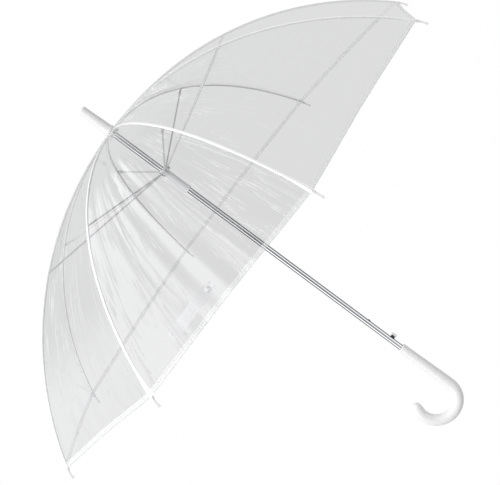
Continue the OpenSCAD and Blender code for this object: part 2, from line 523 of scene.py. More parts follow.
@dataclass(frozen=True)
class ChromeFinish:
    """Plated tube: a mirror whose colour is darkened towards its outline as painted shade, standing in for
    dark edge reflections, with faint drawn lines and light handling haze.
    """

    name: str = "chrome_tube"
    colour: Colour = (0.80, 0.81, 0.83)
    roughness: float = 0.07
    # Share of the colour left at the outline: the painted shade of the dark edges.
    rim: float = 0.38

    def build(self) -> bpy.types.Material:
        """Makes the material.

        Returns:
            The new material.
        """
        material, w, output, place = blank_material(self.name)
        grain = w.group(EFFECTS.grain, {"Vector": place, "Scale": 1400.0, "Stretch": 0.02})
        haze = w.group(EFFECTS.smudge, {"Vector": place, "Scale": 30.0, "Amount": 1.0})
        rough = w.maths("MULTIPLY_ADD", haze.outputs["Mask"], 0.10, self.roughness)
        bump = w.add("Bump", {"Height": grain.outputs["Height"], "Strength": 0.05, "Distance": 0.0001})
        # Painted shade: the colour darkens with the facing angle towards the tube's outline.
        edge = w.soft_step(w.add("LayerWeight", {"Blend": 0.5}).outputs["Facing"], 0.28, 0.72)
        colour = w.blend(edge, self.colour, tuple(c * self.rim for c in self.colour))
        shader = w.add("BsdfPrincipled", {"Base Color": colour, "Roughness": rough, "Metallic": 1.0,
                                          "Specular Tint": (0.4, 0.4, 0.42, 1.0),
                                          "Normal": bump.outputs["Normal"]})
        w.tree.links.new(shader.outputs[0], output.inputs["Surface"])
        return material


@dataclass(frozen=True)
class FilmFinish:
    """A clear sheet: mostly see-through, with a mirror-like sheen that grows towards grazing angles."""

    name: str
    through: Colour
    inside: Colour | None = None
    sheen: float = 0.07
    rise: float = 0.7
    power: float = 4.5
    body: float = 0.0
    body_inside: float = 1.0
    body_colour: Colour = (0.9, 0.91, 0.92)
    roughness: float = 0.03
    bump: float = 0.03
    crinkle: float = 0.0

    def build(self) -> bpy.types.Material:
        """Makes the material: see-through, mixed with a milky body by body and with a mirror by angle.

        Returns:
            The new material.
        """
        material, w, output, place = blank_material(self.name)
        haze = w.group(EFFECTS.smudge, {"Vector": place, "Scale": 9.0, "Amount": 1.0})
        grain = w.group(EFFECTS.grain, {"Vector": place, "Scale": 160.0})
        height = grain.outputs["Height"]
        bump = w.add("Bump", {"Height": height, "Strength": self.bump, "Distance": 0.0004})
        if self.crinkle > 0.0:
            uv = w.add("UVMap", uv_map="surface").outputs[0]
            streaks = w.group(EFFECTS.streaks, {"Vector": uv})
            bump = w.add("Bump", {"Height": streaks.outputs["Height"], "Strength": self.crinkle,
                                  "Distance": 0.0012, "Normal": bump.outputs["Normal"]})
        facing = w.add("LayerWeight", {"Blend": 0.5}).outputs["Facing"]
        mirror = w.maths("MULTIPLY_ADD", w.maths("POWER", facing, self.power), self.rise, self.sheen)
        rough = w.maths("MULTIPLY_ADD", haze.outputs["Mask"], 0.05, self.roughness)
        seen = w.add("NewGeometry").outputs["Backfacing"]
        pass_through = w.blend(seen, self.through, self.inside or self.through)
        clear = w.add("BsdfTransparent", {"Color": pass_through})
        gloss = w.add("BsdfPrincipled", {"Base Color": (0.96, 0.97, 0.98, 1.0), "Metallic": 1.0,
                                         "Roughness": rough, "Normal": bump.outputs["Normal"]})
        under = clear.outputs[0]
        if self.body > 0.0:
            milk = w.add("BsdfPrincipled", {"Base Color": (*self.body_colour, 1.0), "Roughness": 0.35,
                                            "Normal": bump.outputs["Normal"]})
            fog = w.maths("MULTIPLY_ADD", haze.outputs["Mask"], self.body * 0.1, self.body)
            fog = w.maths("MULTIPLY", fog, w.maths("MULTIPLY_ADD", seen, self.body_inside - 1.0, 1.0))
            under = w.add("MixShader", {0: fog, 1: under, 2: milk.outputs[0]}).outputs[0]
        top = w.add("MixShader", {0: mirror, 1: under, 2: gloss.outputs[0]})
        w.tree.links.new(top.outputs[0], output.inputs["Surface"])
        return material


class Finish(Enum):
    """The finishes of the umbrella's pieces."""

    FILM = FilmFinish("film_sheet", (0.722, 0.724, 0.726), inside=(0.985, 0.985, 0.985), sheen=0.06,
                      crinkle=0.9)
    TAPE = FilmFinish("welded_tape", (0.985, 0.985, 0.985), sheen=0.05, rise=0.35, body=0.82,
                      body_inside=0.08, body_colour=(0.95, 0.952, 0.955), roughness=0.2)
    HEM = FilmFinish("hem_band", (0.985, 0.985, 0.985), sheen=0.05, rise=0.35, body=0.26,
                     body_inside=0.12, body_colour=(0.93, 0.935, 0.94), roughness=0.2)
    STRAP = FilmFinish("strap_film", (0.93, 0.93, 0.94), sheen=0.05, rise=0.4, body=0.1,
                       body_colour=(0.93, 0.935, 0.94), roughness=0.1, bump=0.15)
    CLEAR_CAP = FilmFinish("clear_cap", (0.90, 0.90, 0.905), sheen=0.07, rise=0.5, power=3.0, body=0.3,
                           body_colour=(0.86, 0.865, 0.87), roughness=0.12, bump=0.05)
    FROSTED = SolidFinish("frosted_runner", (0.88, 0.885, 0.89), roughness=0.36, coat=0.15,
                          grain_scale=800.0, bump=0.04, haze=0.1, tint=0.04)
    CHROME = ChromeFinish()
    WHITE = SolidFinish("gloss_white", (0.87, 0.87, 0.867), roughness=0.3, coat=0.25, grain_scale=700.0,
                        bump=0.03, haze=0.06, tint=0.02)
    # The handle's gloss white plastic with its colour set lower: its own white plus painted shade on the
    # cap's lit side.
    SHADED_FERRULE = SolidFinish("ferrule_shaded_white", (0.80, 0.80, 0.797), roughness=0.3, coat=0.2, grain_scale=700.0,
                          bump=0.03, haze=0.06, tint=0.02)
    WIRE = SolidFinish("drawn_wire", (0.78, 0.785, 0.79), roughness=0.32, metallic=0.55, grain_scale=1500.0,
                       bump=0.08, haze=0.12, tint=0.15)
    ROD = SolidFinish("rod_coat", (0.93, 0.932, 0.935), roughness=0.3, coat=0.1, grain_scale=1300.0,
                      bump=0.06, haze=0.1, tint=0.08)
    SPRING = SolidFinish("spring_wire", (0.36, 0.37, 0.39), roughness=0.28, metallic=1.0,
                         grain_scale=1800.0, bump=0.05, haze=0.1, tint=0.2)
    BLACK = SolidFinish("black_moulding", (0.025, 0.025, 0.027), roughness=0.34, grain_scale=1100.0,
                        bump=0.12, haze=0.12, tint=0.3)

    def material(self) -> bpy.types.Material:
        """The finish's material, made on first use.

        Returns:
            The material.
        """
        found = bpy.data.materials.get(self.value.name)
        return found or self.value.build()


def dress(piece: bpy.types.Object, finish: Finish) -> None:
    """Gives a piece or a kept CAD node its finish.

    Args:
        piece: The object.
        finish: Its finish.
    """
    if len(piece.material_slots):
        for row in piece.material_slots:
            row.material = finish.material()
    else:
        piece.data.materials.append(finish.material())


def mount(piece: bpy.types.Object, finish: Finish, body: str, node: str | None = None) -> None:
    """Dresses a new piece and says what it rides and which CAD node it stands in for.

    Args:
        piece: The object.
        finish: Its finish.
        body: The body that carries it.
        node: The CAD node that it replaces, if any.
    """
    dress(piece, finish)
    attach(piece, body)
    if node:
        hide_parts(node)


# ------------------------------------------------------------------------------------------- sub-parts


def joint_place(name: str) -> np.ndarray:
    """Where a joint of the frame sits.

    Args:
        name: The joint's name.

    Returns:
        Its point, in metres.
    """
    return np.array(next(j for j in frame["joints"] if j["name"] == name)["pos_m"], float)


@dataclass(frozen=True)
class RibArc:
    """The arc that an open rib bends to, worked out from the frame's hinges and boxes."""

    hinge_r: float
    notch_z: float
    radius: float
    flex: float
    hem: float

    @classmethod
    def from_frame(cls) -> "RibArc":
        """Reads the arc from two hinges on it, whose tangent at the first is level, and the hem's height.

        Returns:
            The arc.
        """
        top, flex = joint_place("rib_fold_1"), joint_place("rib_flex_1")
        r0, r1 = math.hypot(top[0], top[1]), math.hypot(flex[0], flex[1])
        drop = top[2] - flex[2]
        radius = ((r1 - r0) ** 2 + drop ** 2) / (2.0 * drop)
        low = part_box("gore_outer_1")[0][2]
        hem = math.acos((low - top[2] + radius) / (radius + 0.0019))
        return cls(r0, float(top[2]), radius, math.asin((r1 - r0) / radius), hem)

    def point(self, slope: np.ndarray, out: float, azimuth: float) -> np.ndarray:
        """The point hinge + (R + out) (sin a, cos a) of the arc's plane, turned to the azimuth.

        Args:
            slope: How far the rib slopes below level, in radians.
            out: Distance outside the rib's middle line.
            azimuth: Direction of the rib seen from above.

        Returns:
            Points with the shape of slope and three coordinates.
        """
        slope = np.asarray(slope, float)
        r = self.hinge_r + (self.radius + out) * np.sin(slope)
        z = self.notch_z - self.radius + (self.radius + out) * np.cos(slope)
        return np.stack([r * math.cos(azimuth), r * math.sin(azimuth), z], -1)

    def half_spacing(self, slope: np.ndarray) -> np.ndarray:
        """Half the straight distance between two neighbouring ribs at the same slope.

        Args:
            slope: How far the ribs slope below level.

        Returns:
            The distances.
        """
        return math.sin(PITCH / 2) * (self.hinge_r + self.radius * np.sin(slope))

    @staticmethod
    def azimuth(rib: int) -> float:
        """The direction of a rib seen from above.

        Args:
            rib: Its number, from one.

        Returns:
            The angle from +X.
        """
        return PITCH * (rib - 0.5)


class Half(Enum):
    """The half of a panel beside its first or its second rib."""

    FIRST = "a"
    SECOND = "b"


class Zone(Enum):
    """The part of the canopy inside or outside the ribs' flex hinges."""

    INNER = "inner"
    OUTER = "outer"


@dataclass
class Canopy:
    """The clear film canopy with its welded seam tapes and hem.

    Each panel is the surface of straight lines between two neighbouring ribs at equal slope, plus shallow
    waves and creases that die out at the ribs. It is built as one surface and cut along its middle and at
    the flex hinges, and each quarter rides the rib it hangs on.
    """

    arc: RibArc
    out: float = 0.0021
    start_slope: float = math.radians(0.12)
    scallop: float = math.radians(0.25)
    tape_width: float = 0.010
    tape_start: float = math.radians(0.6)
    tape_lift: float = 0.00028
    tape_droop: float = 0.00012
    hem_width: float = 0.008
    hem_gap: float = 0.00035
    folded_share: float = 0.06
    strength: dict[int, float] = field(default_factory=lambda: {
        1: 0.40, 2: 0.40, 3: 0.7, 4: 0.85, 5: 1.25, 6: 1.25, 7: 0.9, 8: 0.5})

    def __post_init__(self) -> None:
        """Draws each panel's waves and creases from a seeded generator."""
        self.draws = {}
        for panel in range(1, RIBS + 1):
            rng = np.random.default_rng(SEED * 100 + panel)
            self.draws[panel] = {
                "wave": rng.uniform([2.5, 0, -6, 0, 3], [11, 6.28, 6, 6.28, 9], (8, 5)),
                "crease": rng.uniform([0.08, -0.5, 0.12, 0.04, 0.10, 0.0012],
                                      [0.92, 0.5, 0.55, 0.2, 0.30, 0.0032], (18, 6)),
                "sign": rng.choice([-1.0, 1.0], 18),
                "pleat": rng.uniform(0, 6.28, 3)}

    def wrinkle(self, panel: int, slope: np.ndarray, q: np.ndarray) -> np.ndarray:
        """Height of the film off its straight lines.

        Near the ferrule pleats fade out as exp(-s / 50 mm). Over the rest, eight long waves
        cos(2 pi f q + drift s) of slowly changing height and eighteen narrow creases
        1 / (1 + (x / w)^2) run roughly along the ribs. All die out at the ribs as sin(pi q)^1.2.

        Args:
            panel: The panel's number.
            slope: Slopes, one a row.
            q: Shares of the way from the first rib to the second.

        Returns:
            Heights in metres, of shape rows by columns.
        """
        draw = self.draws[panel]
        s = (self.arc.radius * slope)[:, None]
        q = q[None, :]
        width = 2.0 * self.arc.half_spacing(slope)[:, None]
        edge = np.maximum(np.sin(np.pi * np.clip(q, 0.0, 1.0)), 0.0) ** 1.2
        total = np.zeros((len(slope), q.shape[1]))
        for f, phase, drift, phase2, pace in draw["wave"]:
            swell = 0.55 + 0.45 * np.sin(pace * s + phase2)
            total += 0.00018 / (1 + 0.10 * f) * swell * np.cos(2 * np.pi * f * q + drift * s * 3 + phase)
        for (q0, bend, s0, reach, size, w), sign in zip(draw["crease"], draw["sign"]):
            x = (q - q0 - bend * (s - s0) * 0.4) * width
            total += sign * size * 0.001 * np.exp(-((s - s0) / reach) ** 2) / (1 + (x / w) ** 2)
        total *= self.strength[panel] * smoothstep(0.02, 0.16, s)
        a, b, _ = draw["pleat"]
        pleat = np.sin(2 * np.pi * 2.5 * q + a) + 0.6 * np.sin(2 * np.pi * 4.0 * q + b + 8 * s)
        total += 0.0009 * pleat * np.exp(-s / 0.05) * (1 - np.exp(-((s / 0.012) ** 2)))
        return total * edge

    def surface(self, panel: int, slope: np.ndarray, q: np.ndarray, out: float) -> np.ndarray:
        """Points (1 - q) A + q B + wrinkle * n, with A and B on the two ribs at the same slope.

        Args:
            panel: The panel's number.
            slope: Slopes, one a row.
            q: Shares of the way across, one a column.
            out: Distance outside the ribs' middle lines.

        Returns:
            Points of shape rows by columns by three.
        """
        first = self.arc.azimuth(panel)
        lift = self.scallop * smoothstep(self.arc.flex, self.arc.hem, slope)
        cut = slope[:, None] - lift[:, None] * np.sin(np.pi * np.clip(q, 0, 1))[None] ** 2
        a = self.arc.point(cut, out, first)
        b = self.arc.point(cut, out, first + PITCH)
        flat = a * (1 - q)[None, :, None] + b * q[None, :, None]
        middle = first + PITCH / 2
        normal = np.stack([np.sin(slope) * math.cos(middle), np.sin(slope) * math.sin(middle),
                           np.cos(slope) * math.cos(PITCH / 2)], -1)
        return flat + unit(normal)[:, None] * self.wrinkle(panel, slope, q)[:, :, None]

    def smooth_surface(self, panel: int, slope: np.ndarray,
                       q: np.ndarray) -> tuple[np.ndarray, np.ndarray]:
        """The surface and its normals, from central differences on a grid one step larger all round.

        Args:
            panel: The panel's number.
            slope: Slopes in even steps.
            q: Shares of the way across in even steps.

        Returns:
            Points and normals.
        """
        wide_slope = np.concatenate([[2 * slope[0] - slope[1]], slope, [2 * slope[-1] - slope[-2]]])
        wide_q = np.concatenate([[2 * q[0] - q[1]], q, [2 * q[-1] - q[-2]]])
        points = self.surface(panel, wide_slope, wide_q, self.out)
        down = points[2:, 1:-1] - points[:-2, 1:-1]
        across = points[1:-1, 2:] - points[1:-1, :-2]
        return points[1:-1, 1:-1], unit(np.cross(down, across))

    def slopes(self, zone: Zone) -> tuple[float, float]:
        """The slopes that a zone lies between.

        Args:
            zone: Inner or outer.

        Returns:
            The first and the last slope.
        """
        return (self.start_slope, self.arc.flex) if zone is Zone.INNER else (self.arc.flex, self.arc.hem)

    @staticmethod
    def rib_beside(panel: int, half: Half) -> int:
        """The rib that half a panel hangs on.

        Args:
            panel: The panel's number.
            half: Which half of it.

        Returns:
            The rib's number.
        """
        return panel if half is Half.FIRST else panel % RIBS + 1

    @staticmethod
    def shares(half: Half, cols: int) -> np.ndarray:
        """Even shares of the way across a panel, over one half.

        Args:
            half: Which half.
            cols: How many.

        Returns:
            Values from 0 to 0.5 or from 0.5 to 1.
        """
        return np.linspace(0.0, 0.5, cols) + (0.5 if half is Half.SECOND else 0.0)

    def fold(self, piece: bpy.types.Object, zone: Zone, half: Half, panel: int) -> None:
        """Gives a quarter of a panel its own copy of its mesh; no fold is set up.

        It works out the rib's direction, the panel's middle and three points on the rib's arc, but uses none
        of them.

        Args:
            piece: The film piece.
            zone: Inner or outer.
            half: Which half of the panel.
            panel: The panel's number.
        """
        lean = self.arc.azimuth(self.rib_beside(panel, half))
        middle = self.arc.azimuth(panel) + PITCH / 2
        low, high = self.slopes(zone)
        ends = self.arc.point(np.array([low, (low + high) / 2, high]), self.out, lean)
        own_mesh(piece)

    def flat_area(self, low: float, high: float) -> float:
        """Flat area of half a panel between two slopes: half the rib spacing along the rib's length.

        Args:
            low: First slope.
            high: Last slope.

        Returns:
            The area in square metres.
        """
        half = self.arc.half_spacing(np.linspace(low, high, 200))
        return float(np.mean(half) * self.arc.radius * (high - low))

    def build_film(self) -> None:
        arc = self.arc
        for zone in Zone:
            low, high = self.slopes(zone)
            rows, cols = (90, 70) if zone is Zone.INNER else (104, 100)
            slope = np.linspace(low, high, rows)
            flat = (float(arc.half_spacing(high)), arc.radius * (high - low))
            for panel in range(1, RIBS + 1):
                for half in Half:
                    q = self.shares(half, cols)
                    points, normals = self.smooth_surface(panel, slope, q)
                    piece = make_piece(f"film_{zone.value}_{panel}_{half.value}", points,
                                       grid_faces(rows, cols), normals=normals,
                                       uv=surface_uv(q[None], arc.radius * slope[:, None]))
                    body = f"rib_{zone.value}_{self.rib_beside(panel, half)}"
                    mount(piece, Finish.FILM, body, body.replace("rib", "gore"))
                    self.fold(piece, zone, half, panel)
                    self.flat_area(low, high)
                    LOG.info("%s: %d points", piece.name, rows * cols)

    def build_tapes(self) -> None:
        """Builds the welded tape over each rib: two flat wings that meet on the rib and widen at the hem."""
        arc = self.arc
        rows, cols = 90, 13
        share = np.linspace(-1.0, 1.0, cols)
        x = share * self.tape_width / 2
        for rib in range(1, RIBS + 1):
            for zone in Zone:
                low, high = self.slopes(zone)
                low = max(low, self.tape_start)
                slope = np.linspace(low, high, rows)
                centre, before, after = (
                    arc.point(slope, self.out + self.tape_lift, arc.azimuth(rib) + step * PITCH)
                    for step in (0.0, -1.0, 1.0))
                taper = smoothstep(0.0, 0.03, arc.radius * slope) * 0.10 + 0.40
                taper += 0.5 * smoothstep(0.07, 0.0, arc.radius * (arc.hem - slope)) ** 2
                wing = np.where(x[None, :, None] < 0, unit(before - centre)[:, None],
                                unit(after - centre)[:, None])
                points = centre[:, None] + np.abs(x)[None, :, None] * taper[:, None, None] * wing
                points[..., 2] -= self.tape_droop * np.abs(share)[None] ** 4
                piece = make_piece(f"seam_tape_{zone.value}_{rib}", points, grid_faces(rows, cols),
                                   uv=surface_uv(x[None], arc.radius * slope[:, None]))
                mount(piece, Finish.TAPE, f"rib_{zone.value}_{rib}", f"gore_{zone.value}_{rib}")

    def build_hem(self) -> None:
        """Builds the hem: a band folded round the canopy's edge, 8 mm up each face."""
        arc = self.arc
        rows, cols = 27, 90
        t = np.linspace(-1.0, 1.0, rows)
        slope = arc.hem - self.hem_width / arc.radius * np.abs(t)
        slope[rows // 2] = arc.hem + 0.00025 / arc.radius
        off = self.hem_gap * np.tanh(-t * 6.0) / math.tanh(6.0)
        off += 0.00012 * np.sin(np.abs(t) * np.pi * 3.0)
        wide = float(arc.half_spacing(arc.hem))
        for panel in range(1, RIBS + 1):
            for half in Half:
                q = self.shares(half, cols)
                points = np.stack([self.surface(panel, np.array([a, a + 1e-4]), q, self.out + o)[0]
                                   for a, o in zip(slope, off)])
                piece = make_piece(f"hem_{panel}_{half.value}", points, grid_faces(rows, cols),
                                   uv=surface_uv(q[None] * 0.4, t[:, None] * self.hem_width))
                rib = self.rib_beside(panel, half)
                mount(piece, Finish.HEM, f"rib_outer_{rib}", f"gore_outer_{rib}")
                self.fold(piece, Zone.OUTER, half, panel)

    def build(self) -> None:
        """Builds film, tapes and hem."""
        self.build_film()
        self.build_tapes()
        self.build_hem()


@dataclass
class TieStrap:
    """The closing strap that lies on the near panel, welded at one end, with a press snap at the other."""

    arc: RibArc
    width: float = 0.020
    length: float = 0.100
    panel: int = 6
    corner: float = 0.008
    snap_inset: float = 0.012

    def build(self) -> None:
        """Builds the strip between the CAD strap's corners, bowed by shallow waves, and its snap."""
        low, high = (np.array(c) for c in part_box("tie_strap"))
        tilt = math.atan2(high[2] - low[2], high[1] - low[1])
        centre = (low + high) / 2
        up = np.array([0.0, math.cos(tilt), math.sin(tilt)])
        normal = np.cross(X_AXIS, up)
        normal = normal if normal[1] < 0 else -normal
        rows, cols = 14, 60
        v = np.linspace(-0.5, 0.5, rows)[:, None]
        u = np.linspace(0.5, -0.5, cols)[None, :]
        past = np.abs(u) * self.length - (self.length / 2 - self.corner)
        narrowed = 1.0 - np.clip(past / self.corner, 0, 1) ** 2 * 0.35
        bow = 0.00035 * np.sin(9 * u + 1) + 0.0003 * np.cos(2 * np.pi * v) + 0.0002
        points = (centre + (u * self.length)[..., None] * X_AXIS
                  + (v * self.width * narrowed)[..., None] * up + bow[..., None] * normal)
        strip = make_piece("tie_strap_film", points, grid_faces(rows, cols),
                           uv=surface_uv(u * self.length, v * self.width))
        profile = rounded_profile([(0.0, 0.0052, 0), (0.0006, 0.0052, 0.0004), (0.0009, 0.0036, 0.0004),
                                   (0.0019, 0.0032, 0.0005), (0.0021, 0.0, 0)])
        at = centre + (0.5 * self.length - self.snap_inset) * X_AXIS + normal * 0.0004
        points, quads, fans = lathe(profile, at, normal, up, 28)
        snap = make_piece("strap_snaps", points, quads, fans)
        canopy = Canopy(self.arc)
        for piece, finish, slot in ((strip, Finish.STRAP, "clear_film"),
                                    (snap, Finish.CLEAR_CAP, "frosted_plastic")):
            mount(piece, finish, "rib_outer_6", "tie_strap")
            canopy.fold(piece, Zone.OUTER, Half.FIRST, self.panel)
        LOG.info("tie strap built")


@dataclass
class Handle:
    """The crook: a tapering straight grip that turns through a little over half a circle to a blunt nose."""

    grip_d: float = 0.016
    crook_d: float = 0.0202
    bend_r: float = 0.0365
    bend_angle: float = math.radians(200)
    tail: float = 0.0155
    lip: float = 0.0014
    nose: float = 0.0125
    bore_r: float = 0.0052
    sides: int = 72

    def build(self) -> None:
        """Carries a circle down the grip, round the bend and out to the nose, with rounded ends."""
        top = float(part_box("handle")[1][2])
        bend_z = self.bend_r + self.crook_d / 2
        straight = top - bend_z
        bend = self.bend_r * self.bend_angle
        total = straight + bend + self.tail
        s = np.concatenate([np.linspace(0.0, 0.004, 14), np.linspace(0.006, total - 0.014, 150),
                            total - self.nose * (1 - np.sin(np.linspace(0.0, np.pi / 2, 26)))])
        angle = np.clip((s - straight) / self.bend_r, 0.0, self.bend_angle)
        after = np.maximum(s - straight - bend, 0.0)
        x = -self.bend_r + self.bend_r * np.cos(angle) - after * math.sin(self.bend_angle)
        z = bend_z - self.bend_r * np.sin(angle) + np.where(s < straight, straight - s, 0.0)
        z = z - after * math.cos(self.bend_angle)
        path = np.stack([x, np.zeros_like(x), z], -1)
        radius = self.grip_d / 2 + (self.crook_d - self.grip_d) / 2 * smoothstep(-0.02, straight + 0.012, s)
        radius *= 1.0 - 0.10 * smoothstep(total - self.tail - 0.004, total - 0.006, s)
        radius -= self.lip * (1 - np.sqrt(np.clip(1 - (1 - np.clip(s / self.lip, 0, 1)) ** 2, 0, 1)))
        near = np.clip((s - (total - self.nose)) / self.nose, 0.0, 1.0)
        radius *= np.sqrt(np.clip(1 - near ** 2.6, 0.0004, 1.0))
        points, quads, fans = tube_along(path, radius, Y_AXIS, self.sides)
        ring = ring_of(Y_AXIS, np.cross(-Z_AXIS, Y_AXIS), self.sides)
        well = np.stack([(top - deep) * Z_AXIS + ring * r for deep, r in
                         ((0.009, self.bore_r), (0.0006, self.bore_r), (0.0001, self.bore_r + 0.0005))])
        rim = np.concatenate([well, points[:1]])
        rim_quads = grid_faces(len(rim), self.sides, wrap=True)[:, ::-1]
        piece = make_piece("crook_handle", *join_shapes([(points, quads, fans[1:]), (rim, rim_quads, [])]))
        make_outward(piece)
        mount(piece, Finish.WHITE, "shaft", "handle")
        LOG.info("handle built, %.0f mm along its middle", total * 1000)


def make_outward(piece: bpy.types.Object) -> None:
    """Merges a closed piece's doubled vertices and turns its faces outwards.

    Args:
        piece: The object.
    """
    shape = bmesh.new()
    shape.from_mesh(piece.data)
    bmesh.ops.remove_doubles(shape, verts=shape.verts, dist=MERGE_DISTANCE)
    bmesh.ops.recalc_face_normals(shape, faces=shape.faces)
    shape.to_mesh(piece.data)
    shape.free()
    piece.data.shade_smooth()


@dataclass
class Ferrule:
    """The white cap on top: a cone with a turned foot, a soft groove and a rounded end."""

    def build(self) -> None:
        """Turns the cap's profile round the shaft's axis."""
        low, high = (np.array(c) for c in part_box("ferrule"))
        h = float(high[2] - low[2])
        foot = float(high[0] - low[0]) / 2
        tip = 0.0075
        corners = [(0.0, 0.0052, 0), (0.0, foot - 0.0008, 0.0004), (0.0005, foot, 0.0005),
                   (0.0042, foot - 0.0003, 0.0006), (0.0050, foot - 0.0011, 0.0006),
                   (0.0062, foot - 0.0010, 0.0006), (h - 0.0138, tip + 0.0001, 0.004),
                   (h - 0.0016, tip, 0.0012), (h, tip - 0.0016, 0.0010), (h, 0.0, 0)]
        points, quads, fans = lathe(rounded_profile(corners, 8), low[2] * Z_AXIS, Z_AXIS, X_AXIS, 72)
        piece = make_piece("ferrule_cap", points, quads, fans[:1])
        make_outward(piece)
        # The cap wears the darker copy of the white plastic, which paints shade onto it.
        mount(piece, Finish.SHADED_FERRULE, "shaft", "ferrule")
        LOG.info("ferrule built")


@dataclass
class RibCaps:
    """The clear end caps of the ribs: a collar at the hem, a slim neck that hooks inwards and a ball."""

    arc: RibArc
    length: float = 0.019
    hook: float = 0.0030
    ball_r: float = 0.0023
    sides: int = 28

    def build(self) -> None:
        """Carries a circle of changing radius along a line that bends inwards as the cube of its length."""
        arc = self.arc
        ball = [(self.length - self.ball_r + self.ball_r * math.cos(a), self.ball_r * math.sin(a))
                for a in np.linspace(math.radians(135), 0.12, 16)]
        profile = rounded_profile([(0.0004, 0.0015, 0), (0.0004, 0.0023, 0.0003),
                                   (0.0034, 0.0022, 0.0006), (0.0044, 0.0017, 0.0006),
                                   (self.length - 0.0058, 0.0014, 0.001), (*ball[0], 0.0004),
                                   *((*b, 0.0) for b in ball[1:]), (self.length, 0.0, 0)], 5)
        along, radius = np.array(profile).T
        share = along / self.length
        bend = np.arctan(3 * self.hook / self.length * share ** 2)[:, None]
        for rib in range(1, RIBS + 1):
            lean = arc.azimuth(rib)
            start = arc.point(np.array(arc.hem), 0.0, lean)
            out = np.array([math.cos(lean), math.sin(lean), 0.0])
            side = np.array([-math.sin(lean), math.cos(lean), 0.0])
            ahead = math.cos(arc.hem) * out - math.sin(arc.hem) * Z_AXIS
            inwards = -math.sin(arc.hem) * out - math.cos(arc.hem) * Z_AXIS
            centre = start + along[:, None] * ahead + (self.hook * share ** 3)[:, None] * inwards
            across = np.cos(bend) * inwards - np.sin(bend) * ahead
            ring = ring_of(np.broadcast_to(side, across.shape), across, self.sides)
            points, _, _ = skin(centre, ring, radius)
            piece = make_piece(f"rib_cap_{rib}", points, grid_faces(len(along), self.sides, wrap=True),
                               [list(range(self.sides))])
            make_outward(piece)
            mount(piece, Finish.CLEAR_CAP, f"rib_outer_{rib}", f"rib_tip_{rib}")
        LOG.info("%d rib caps built", RIBS)


@dataclass
class CrownWire:
    """The ring wire that pins the stretchers' lower ends in the runner's crown."""

    ring: float = 0.009
    wire: float = 0.0006
    steps: int = 96
    sides: int = 12

    def build(self) -> None:
        """Turns a small circle round the shaft at the height of the stretchers' lower eyes."""
        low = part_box("stretcher_1")[0][2]
        turn = np.linspace(0.0, 2 * np.pi, self.steps + 1)[:-1, None]
        part = np.linspace(0.0, 2 * np.pi, self.sides + 1)[None, :-1]
        r = self.ring + self.wire * np.cos(part)
        z = np.broadcast_to(low + 0.0016 + self.wire * np.sin(part), (self.steps, self.sides))
        points = np.stack([r * np.cos(turn), r * np.sin(turn), z], -1)
        faces = grid_faces(self.steps + 1, self.sides, wrap=True) % (self.steps * self.sides)
        piece = make_piece("crown_ring_wire", points, faces)
        make_outward(piece)
        mount(piece, Finish.WIRE, "runner")
        LOG.info("crown wire built")


@dataclass
class MainSpring:
    """The opening spring inside the shaft: a close helix of round wire."""

    wire: float = 0.00035
    coil: float = 0.00225
    turns: int = 110

    def build(self) -> None:
        """Carries a small circle along the helix (r cos t, r sin t, rise t)."""
        low, high = (np.array(c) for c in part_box("main_spring"))
        t = np.linspace(0.0, 2 * np.pi * self.turns, self.turns * 20)
        z = low[2] + self.wire + (high[2] - low[2] - 2 * self.wire) * t / t[-1]
        path = np.stack([self.coil * np.cos(t), self.coil * np.sin(t), z], -1)
        points, quads, fans = tube_along(path, np.full(len(t), self.wire), Z_AXIS, 6)
        piece = make_piece("opening_spring", points, quads, fans)
        mount(piece, Finish.SPRING, "shaft", "main_spring")
        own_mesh(piece)
        LOG.info("spring built, %d turns", self.turns)


class KeptNodes:
    """The CAD nodes that stay visible, with their finishes."""

    FINISHES = {"shaft_tube": Finish.CHROME, "top_notch": Finish.WHITE, "notch_ring": Finish.WIRE,
                "runner": Finish.FROSTED, "spring_plunger": Finish.WIRE, "spring_stop": Finish.WIRE,
                "catch_lever": Finish.BLACK, "button_cap": Finish.CLEAR_CAP}

    def build(self) -> None:
        """Dresses each kept node."""
        for name, finish in self.FINISHES.items():
            dress(frame["nodes"][name], finish)
        for rib in range(1, RIBS + 1):
            dress(frame["nodes"][f"rib_inner_{rib}"], Finish.ROD)
            dress(frame["nodes"][f"rib_outer_{rib}"], Finish.ROD)
            dress(frame["nodes"][f"stretcher_{rib}"], Finish.WIRE)
        LOG.info("%d kept nodes dressed", len(self.FINISHES) + 3 * RIBS)


# ---------------------------------------------------------------------------------------------- studio


